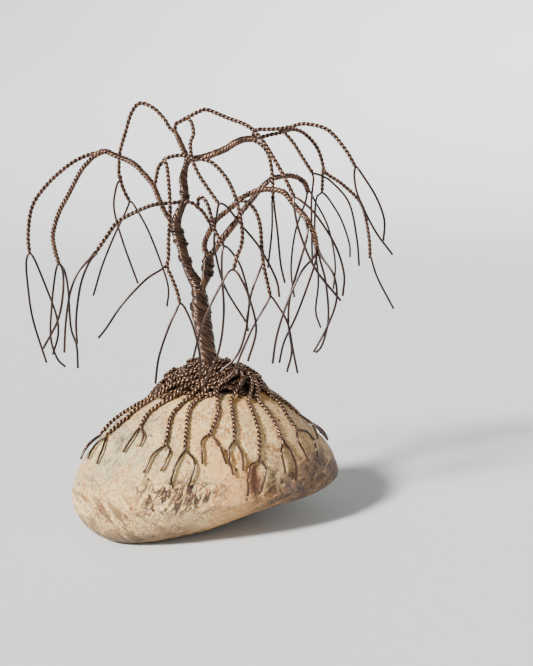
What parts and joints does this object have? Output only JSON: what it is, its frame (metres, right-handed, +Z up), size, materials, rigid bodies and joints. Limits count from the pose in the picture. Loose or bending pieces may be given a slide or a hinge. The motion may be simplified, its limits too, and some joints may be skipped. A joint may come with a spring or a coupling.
{
  "type": "wire tree sculpture",
  "caption": "Small weeping tree of twisted copper wire, its roots spread over the rounded pebble that it stands on",
  "frame": {"origin": "on the surface the stone stands on, under the trunk's foot", "axes": "+Z up, +X to the right of the tree's front, +Y to its back"},
  "size_m": [0.0789, 0.0388, 0.0891],
  "materials": {
    "pebble": "smooth worn stone, cream and tan with brown iron stains, matt",
    "trunk_copper": "dark aged copper wire, semi-gloss",
    "branch_copper": "brown enamelled copper wire, semi-gloss",
    "root_copper": "warm brown copper wire, semi-gloss"
  },
  "bodies": {
    "root": {"back_bough": "branch_copper", "back_inner_strand": "branch_copper", "back_outer_strand": "branch_copper", "back_right_strand": "branch_copper", "back_root_1": "root_copper", "back_root_2": "root_copper", "back_root_3": "root_copper", "back_root_4": "root_copper", "back_root_5": "root_copper", "back_root_6": "root_copper", "back_root_7": "root_copper", "cross_strand": "branch_copper", "front_left_strand": "branch_copper", "front_left_tip": "branch_copper", "front_middle_strand": "branch_copper", "front_right_bough": "branch_copper", "front_right_strand": "branch_copper", "front_right_twig": "branch_copper", "front_root_1": "root_copper", "front_root_10": "root_copper", "front_root_11": "root_copper", "front_root_12": "root_copper", "front_root_2": "root_copper", "front_root_3": "root_copper", "front_root_4": "root_copper", "front_root_5": "root_copper", "front_root_6": "root_copper", "front_root_7": "root_copper", "front_root_8": "root_copper", "front_root_9": "root_copper", "hook_strand": "branch_copper", "left_bough": "branch_copper", "left_inner_strand": "branch_copper", "left_outer_strand": "branch_copper", "low_front_strand": "branch_copper", "low_left_strand": "branch_copper", "middle_bough": "branch_copper", "right_bough": "branch_copper", "right_front_strand": "branch_copper", "right_inner": "branch_copper", "right_inner_strand": "branch_copper", "right_low_strand": "branch_copper", "right_low_tip": "branch_copper", "right_middle": "branch_copper", "right_outer": "branch_copper", "right_outer_strand": "branch_copper", "rim_link_high": "branch_copper", "rim_link_low": "branch_copper", "root_mat": "root_copper", "stone": "pebble", "top_front_strand": "branch_copper", "top_left_strand": "branch_copper", "top_link": "branch_copper", "top_right_bough": "branch_copper", "top_right_strand": "branch_copper", "trunk": "trunk_copper"}
  },
  "joints": []
}
